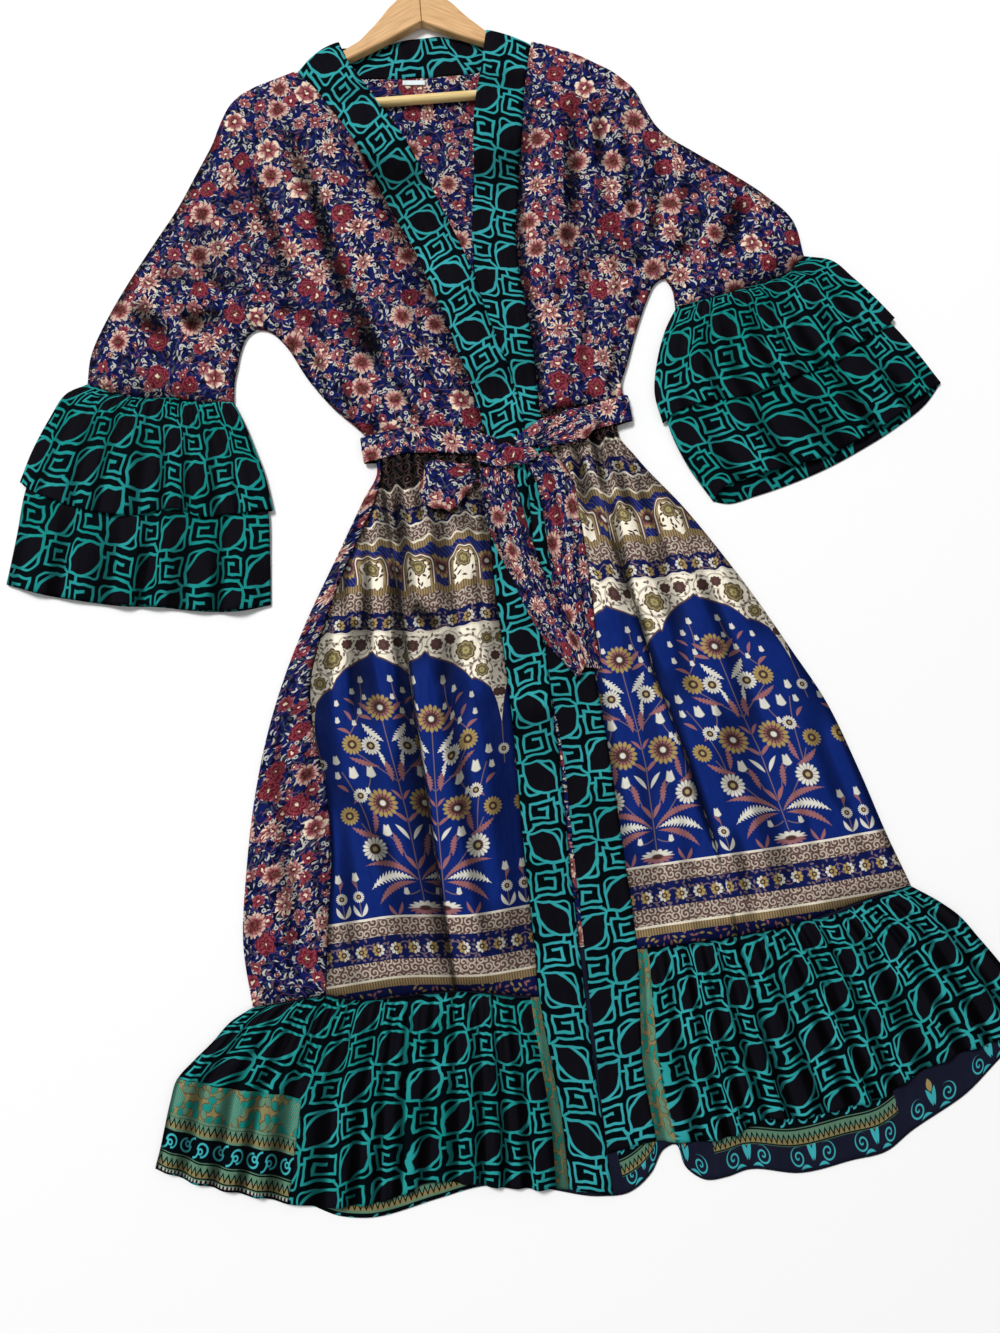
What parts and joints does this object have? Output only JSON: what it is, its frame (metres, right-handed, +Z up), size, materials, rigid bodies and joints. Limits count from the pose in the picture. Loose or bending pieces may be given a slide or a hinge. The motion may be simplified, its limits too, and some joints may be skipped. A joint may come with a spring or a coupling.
{
  "type": "kimono robe with wooden hanger",
  "caption": "Knee-length kimono robe with wide tiered sleeves, gathered hem ruffles, contrast front bands and a tied belt, laid flat on its wooden hanger.",
  "frame": {"origin": "on the underside at the middle of the waist, under the belt's back run", "axes": "+Y towards the neck and the hook, +X to the right of someone looking down on the front, +Z up out of the front"},
  "size_m": [0.99, 1.3679, 0.0194],
  "materials": {
    "floral": "soft printed plain weave",
    "geometric": "soft printed plain weave",
    "border": "soft printed plain weave",
    "green_border": "soft printed plain weave",
    "label": "smooth white ribbon",
    "beech": "satin varnish",
    "pale_wood": "satin varnish",
    "wire": "bright"
  },
  "bodies": {
    "root": {"bodice_back": "floral", "neckband_back": "geometric", "skirt_back": "floral", "ruffle_back": "geometric", "bodice_front_left": "floral", "bodice_front_right": "floral", "skirt_front_left": "border", "skirt_front_right": "border", "ruffle_front_left": "geometric", "ruffle_front_right": "geometric", "ruffle_border_patch": "green_border", "band_right": "geometric", "band_left": "geometric", "cuff_upper_left": "geometric", "cuff_lower_left": "geometric", "cuff_upper_right": "geometric", "cuff_lower_right": "geometric", "belt_wrap": "floral", "belt_loop_left": "floral", "belt_loop_right": "floral", "belt_tail_right": "floral", "belt_tail_left": "floral", "belt_knot": "floral", "neck_label": "label", "hanger_arm_left": "beech", "hanger_arm_right": "beech", "hanger_bar": "pale_wood", "hanger_hook": "wire"}
  },
  "joints": []
}
